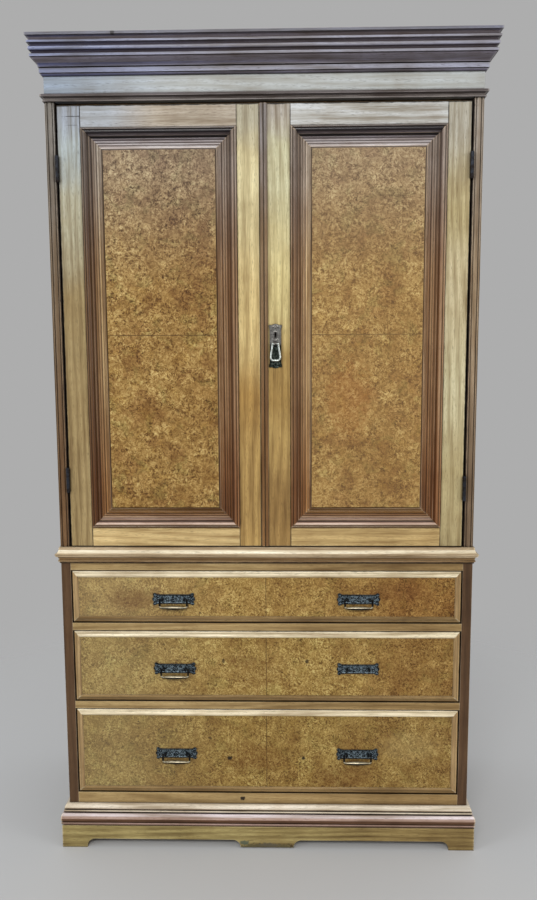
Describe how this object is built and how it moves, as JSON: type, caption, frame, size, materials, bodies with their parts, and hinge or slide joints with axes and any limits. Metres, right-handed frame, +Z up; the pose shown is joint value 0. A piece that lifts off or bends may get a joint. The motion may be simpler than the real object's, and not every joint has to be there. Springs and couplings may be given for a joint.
{
  "type": "wardrobe",
  "caption": "Two-part wardrobe: panelled double-door cupboard with a moulded cornice, over a chest of long drawers on a bracket plinth.",
  "frame": {"origin": "floor level under the middle of the whole piece", "axes": "+X to the right and -Y out of the front as seen by someone facing the doors, +Z up"},
  "size_m": [1.148, 0.554, 2.11],
  "materials": {
    "ash": "satin wax polish",
    "pale_ash": "satin wax polish",
    "moulding": "satin wax polish",
    "burr": "satin polished burr veneer",
    "edge": "satin wax polish",
    "deal": "bare planed",
    "bronze": "darkened bronze",
    "brass": "worn brass",
    "steel": "dull iron"
  },
  "bodies": {
    "case": {"plinth_front": "ash", "plinth_sides": "ash", "plinth_back": "deal", "plinth_blocks": "deal", "plinth_moulding": "moulding", "chest_sides": "moulding", "chest_bottom": "deal", "chest_top": "ash", "chest_back": "deal", "drawer_rails": "ash", "drawer_runners": "deal", "waist_moulding": "moulding", "cupboard_sides": "moulding", "cupboard_bottom": "deal", "cupboard_top": "deal", "cupboard_back": "deal", "hanging_rail": "brass", "frieze": "pale_ash", "frieze_bead": "moulding", "cornice_moulding": "moulding", "dust_board": "deal", "case_hinge_leaves": "steel"},
    "door_left": {"left_door_stiles": "ash", "left_door_rails": "pale_ash", "left_door_panel": "burr", "left_door_moulding": "moulding", "left_door_hinge_leaves": "steel", "bolt_plates": "steel"},
    "door_right": {"right_door_stiles": "ash", "right_door_rails": "pale_ash", "right_door_panel": "burr", "right_door_moulding": "moulding", "meeting_bead": "moulding", "right_door_hinge_leaves": "steel", "lock_case": "steel", "escutcheon_plate": "bronze"},
    "drawer_1": {"drawer_1_front": "burr", "drawer_1_edge_moulding": "edge", "drawer_1_box": "deal", "drawer_1_bottom": "deal", "drawer_1_handle_plates": "bronze"},
    "drawer_2": {"drawer_2_front": "burr", "drawer_2_edge_moulding": "edge", "drawer_2_box": "deal", "drawer_2_bottom": "deal", "drawer_2_handle_plates": "bronze"},
    "drawer_3": {"drawer_3_front": "burr", "drawer_3_edge_moulding": "edge", "drawer_3_box": "deal", "drawer_3_bottom": "deal", "drawer_3_handle_plates": "bronze"},
    "bail_1_left": {"drawer_1_bail_left": "brass"},
    "bail_1_right": {"drawer_1_bail_right": "brass"},
    "bail_2_left": {"drawer_2_bail_left": "brass"},
    "bail_3_left": {"drawer_3_bail_left": "brass"},
    "bail_3_right": {"drawer_3_bail_right": "brass"},
    "drop_handle": {"drop_handle": "brass"},
    "lock_bolt": {"lock_bolt": "brass"},
    "top_bolt": {"top_bolt": "brass"},
    "bottom_bolt": {"bottom_bolt": "brass"}
  },
  "joints": [
    {"name": "door_left_hinge", "type": "hinge", "parent": "case", "child": "door_left", "pos_m": [-0.5128, -0.248, 0.838], "axis": [0, 0, -1], "range_deg": [0, 110]},
    {"name": "door_right_hinge", "type": "hinge", "parent": "case", "child": "door_right", "pos_m": [0.5128, -0.248, 0.838], "axis": [0, 0, 1], "range_deg": [0, 110]},
    {"name": "drawer_1_slide", "type": "slide", "parent": "case", "child": "drawer_1", "axis": [0, -1, 0], "range_m": [0, 0.36]},
    {"name": "drawer_2_slide", "type": "slide", "parent": "case", "child": "drawer_2", "axis": [0, -1, 0], "range_m": [0, 0.36]},
    {"name": "drawer_3_slide", "type": "slide", "parent": "case", "child": "drawer_3", "axis": [0, -1, 0], "range_m": [0, 0.36]},
    {"name": "bail_1_left_swing", "type": "hinge", "parent": "drawer_1", "child": "bail_1_left", "pos_m": [-0.244, -0.2533, 0.694], "axis": [-1, 0, 0], "range_deg": [0, 190]},
    {"name": "bail_1_right_swing", "type": "hinge", "parent": "drawer_1", "child": "bail_1_right", "pos_m": [0.244, -0.2533, 0.694], "axis": [-1, 0, 0], "range_deg": [0, 190]},
    {"name": "bail_2_left_swing", "type": "hinge", "parent": "drawer_2", "child": "bail_2_left", "pos_m": [-0.244, -0.2533, 0.503], "axis": [-1, 0, 0], "range_deg": [0, 190]},
    {"name": "bail_3_left_swing", "type": "hinge", "parent": "drawer_3", "child": "bail_3_left", "pos_m": [-0.244, -0.2533, 0.264], "axis": [-1, 0, 0], "range_deg": [0, 190]},
    {"name": "bail_3_right_swing", "type": "hinge", "parent": "drawer_3", "child": "bail_3_right", "pos_m": [0.244, -0.2533, 0.264], "axis": [-1, 0, 0], "range_deg": [0, 190]},
    {"name": "drop_handle_swing", "type": "hinge", "parent": "door_right", "child": "drop_handle", "pos_m": [0.028, -0.2498, 1.362], "axis": [-1, 0, 0], "range_deg": [0, 150]},
    {"name": "lock_bolt_slide", "type": "slide", "parent": "door_right", "child": "lock_bolt", "axis": [-1, 0, 0], "range_m": [0, 0.009]},
    {"name": "top_bolt_slide", "type": "slide", "parent": "door_left", "child": "top_bolt", "axis": [0, 0, 1], "range_m": [0, 0.014]},
    {"name": "bottom_bolt_slide", "type": "slide", "parent": "door_left", "child": "bottom_bolt", "axis": [0, 0, -1], "range_m": [0, 0.014]}
  ]
}
